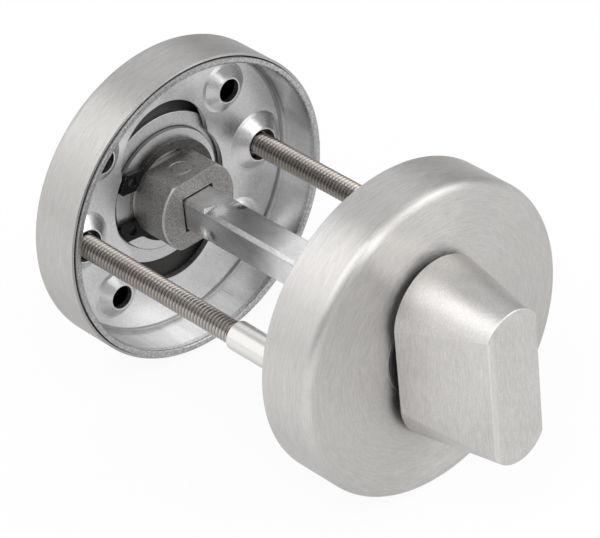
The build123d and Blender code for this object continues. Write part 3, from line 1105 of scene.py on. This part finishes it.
def floor_material():
    """Pale floor: white to the camera, a card to reflections, and it keeps the part's shadow."""
    material = bpy.data.materials.new("Pale floor")
    material.use_nodes = True
    tree = material.node_tree
    tree.nodes.clear()
    wiring = Wiring(tree)
    paint = wiring.add("ShaderNodeBsdfDiffuse", {"Color": FLOOR_PAINT})
    path = wiring.add("ShaderNodeLightPath").outputs
    place = wiring.axes(wiring.add("ShaderNodeTexCoord").outputs["Object"])
    left = wiring.soft_step(place["X"], *FLOOR_LEFT_X)
    behind = wiring.within((place["X"], *FLOOR_BEHIND_X), (place["Y"], *FLOOR_BEHIND_Y))
    front = wiring.soft_step(place["Y"], *FLOOR_FRONT_Y)
    card = wiring.total((left, FLOOR_LEFT), (behind, FLOOR_BEHIND), (front, FLOOR_FRONT), (FLOOR_CARD, 1.0))
    strength = wiring.fade(path["Is Camera Ray"], card, FLOOR_SEEN)
    glow = wiring.add("ShaderNodeEmission", {"Color": WHITE, "Strength": strength})
    mirrored = wiring.math("MAXIMUM", path["Is Glossy Ray"], path["Is Transmission Ray"])
    share = wiring.total((path["Is Camera Ray"], GLOW_SEEN), (mirrored, GLOW_MIRRORED))
    mix = wiring.add("ShaderNodeMixShader", {"Fac": share})
    wiring.put(mix.inputs[1], paint.outputs[0])
    wiring.put(mix.inputs[2], glow.outputs[0])
    output = wiring.add("ShaderNodeOutputMaterial")
    wiring.put(output.inputs["Surface"], mix.outputs[0])
    return material


def studio_world():
    """White to the camera, soft boxes to reflections and an even grey as light."""
    world = bpy.data.worlds.new("Studio")
    bpy.context.scene.world = world
    world.use_nodes = True
    tree = world.node_tree
    tree.nodes.clear()
    wiring = Wiring(tree)
    direction = wiring.axes(wiring.add("ShaderNodeTexCoord").outputs["Generated"])
    x, y, z = direction["X"], direction["Y"], direction["Z"]
    slant = wiring.total((x, 1.0), (z, STRIP_LEAN))
    side_box = wiring.within((x, *SIDE_BOX_X), (y, *SIDE_BOX_Y))
    front_box = wiring.within((y, *FRONT_BOX_Y), (slant, *FRONT_BOX_SLANT))
    strip = wiring.within((y, *STRIP_Y), (slant, *FRONT_BOX_SLANT), (slant, *STRIP_END_SLANT))
    overhead = wiring.within((y, *OVERHEAD_Y), (z, *OVERHEAD_Z))
    backdrop = wiring.within((y, *BACKDROP_Y), (wiring.away(z, BACKDROP_MIDDLE_Z), *BACKDROP_REACH_Z))
    boxes = wiring.math("MAXIMUM", side_box, front_box)
    boxes = wiring.math("MAXIMUM", boxes, wiring.times(backdrop, BACKDROP))
    boxes = wiring.total((boxes, 1.0), (strip, STRIP), (overhead, OVERHEAD))
    sky = wiring.total((boxes, SOFT_BOXES), (WORLD_DARK, 1.0))
    mirror = wiring.fade(wiring.soft_step(z, *HORIZON_Z), WORLD_BELOW, sky)
    path = wiring.add("ShaderNodeLightPath").outputs
    mirrored = wiring.math("MAXIMUM", path["Is Glossy Ray"], path["Is Transmission Ray"])
    light = wiring.fade(mirrored, WORLD_LIGHT, mirror)
    strength = wiring.fade(path["Is Camera Ray"], light, WORLD_SEEN)
    background = wiring.add("ShaderNodeBackground", {"Color": WHITE, "Strength": strength})
    output = wiring.add("ShaderNodeOutputWorld")
    wiring.put(output.inputs["Surface"], background.outputs[0])


def soft_lamp(name, place, size, power):
    """A round lamp that looks at the part."""
    light = bpy.data.lights.new(name, "AREA")
    light.shape = "DISK"
    light.size = size
    light.energy = power
    lamp = bpy.data.objects.new(name, light)
    lamp.location = place
    lamp.rotation_euler = (LAMP_AIM - place).to_track_quat("-Z", "Y").to_euler()
    bpy.context.scene.collection.objects.link(lamp)


def photograph_camera(settings):
    """Camera at the photograph's point of view, on a long lens."""
    data = bpy.data.cameras.new("Photograph view")
    data.sensor_width = SENSOR_WIDTH
    data.lens = FOCAL_LENGTH
    data.clip_start = NEAREST_SEEN
    data.clip_end = FARTHEST_SEEN
    azimuth, elevation = settings.azimuth, settings.elevation
    back = Vector((
        math.sin(azimuth) * math.cos(elevation),
        -math.cos(azimuth) * math.cos(elevation),
        math.sin(elevation),
    ))
    right = Vector((math.cos(azimuth), math.sin(azimuth), 0.0))
    up = back.cross(right)
    roll = Matrix.Rotation(settings.part_roll, 3, "Y")
    aim = roll @ CAMERA_AIM
    axes = roll @ Matrix((right, up, back)).transposed()
    camera = bpy.data.objects.new("Photograph view", data)
    camera.matrix_world = Matrix.Translation(aim + axes.col[2] * settings.distance) @ axes.to_4x4()
    bpy.context.scene.collection.objects.link(camera)
    bpy.context.scene.camera = camera


class LOCK_OT_stage(bpy.types.Operator):
    """Set the pale floor, the soft lamps, the world and the camera"""

    bl_idname = "lock.stage"
    bl_label = "Stage"

    def execute(self, context):
        settings = context.scene.lock_stage
        context.scene.view_settings.view_transform = "Standard"
        level = FRAME_LOW.z
        around = ((-1.0, -1.0), (1.0, -1.0), (1.0, 1.0), (-1.0, 1.0))
        corners = [(FLOOR_REACH * x, FLOOR_REACH * y, level) for x, y in around]
        stage_mesh("Floor", corners, floor_material())
        studio_world()
        soft_lamp("Main lamp", MAIN_LAMP_PLACE, MAIN_LAMP_SIZE, settings.lamp_power)
        soft_lamp("Fill lamp", FILL_LAMP_PLACE, FILL_LAMP_SIZE, settings.lamp_power * FILL_LAMP_SHARE)
        photograph_camera(settings)
        return {"FINISHED"}


PIECE_OPERATORS = (
    LOCK_OT_covers,
    LOCK_OT_bases,
    LOCK_OT_thumb_turn,
    LOCK_OT_release,
    LOCK_OT_bushes,
    LOCK_OT_washers,
    LOCK_OT_hubs,
    LOCK_OT_rings,
    LOCK_OT_spindle,
    LOCK_OT_fasteners,
)


class LOCK_PT_pieces(bpy.types.Panel):
    """Sidebar panel with the settings and one button for each group of pieces"""

    bl_idname = "LOCK_PT_pieces"
    bl_label = "Bathroom thumb turn"
    bl_space_type = "VIEW_3D"
    bl_region_type = "UI"
    bl_category = "Thumb Turn"

    def draw(self, context):
        column = self.layout.column(align=True)
        for operator in PIECE_OPERATORS + (LOCK_OT_stage,):
            column.operator(operator.bl_idname)
        for attribute, group in SETTINGS.items():
            box = self.layout.box()
            for name in group.__annotations__:
                box.prop(getattr(context.scene, attribute), name)


CLASSES = tuple(SETTINGS.values()) + PIECE_OPERATORS + (LOCK_OT_stage, LOCK_PT_pieces)


def register():
    for cls in CLASSES:
        bpy.utils.register_class(cls)
    for attribute, group in SETTINGS.items():
        setattr(bpy.types.Scene, attribute, bpy.props.PointerProperty(type=group))


def unregister():
    for attribute in SETTINGS:
        delattr(bpy.types.Scene, attribute)
    for cls in reversed(CLASSES):
        bpy.utils.unregister_class(cls)


def main():
    """Registers the classes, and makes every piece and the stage."""
    register()
    bpy.ops.lock.covers()
    bpy.ops.lock.bases()
    bpy.ops.lock.thumb_turn()
    bpy.ops.lock.release()
    bpy.ops.lock.bushes()
    bpy.ops.lock.washers()
    bpy.ops.lock.hubs()
    bpy.ops.lock.rings()
    bpy.ops.lock.spindle()
    bpy.ops.lock.fasteners()
    bpy.ops.lock.stage()


if __name__ == "__main__":
    main()
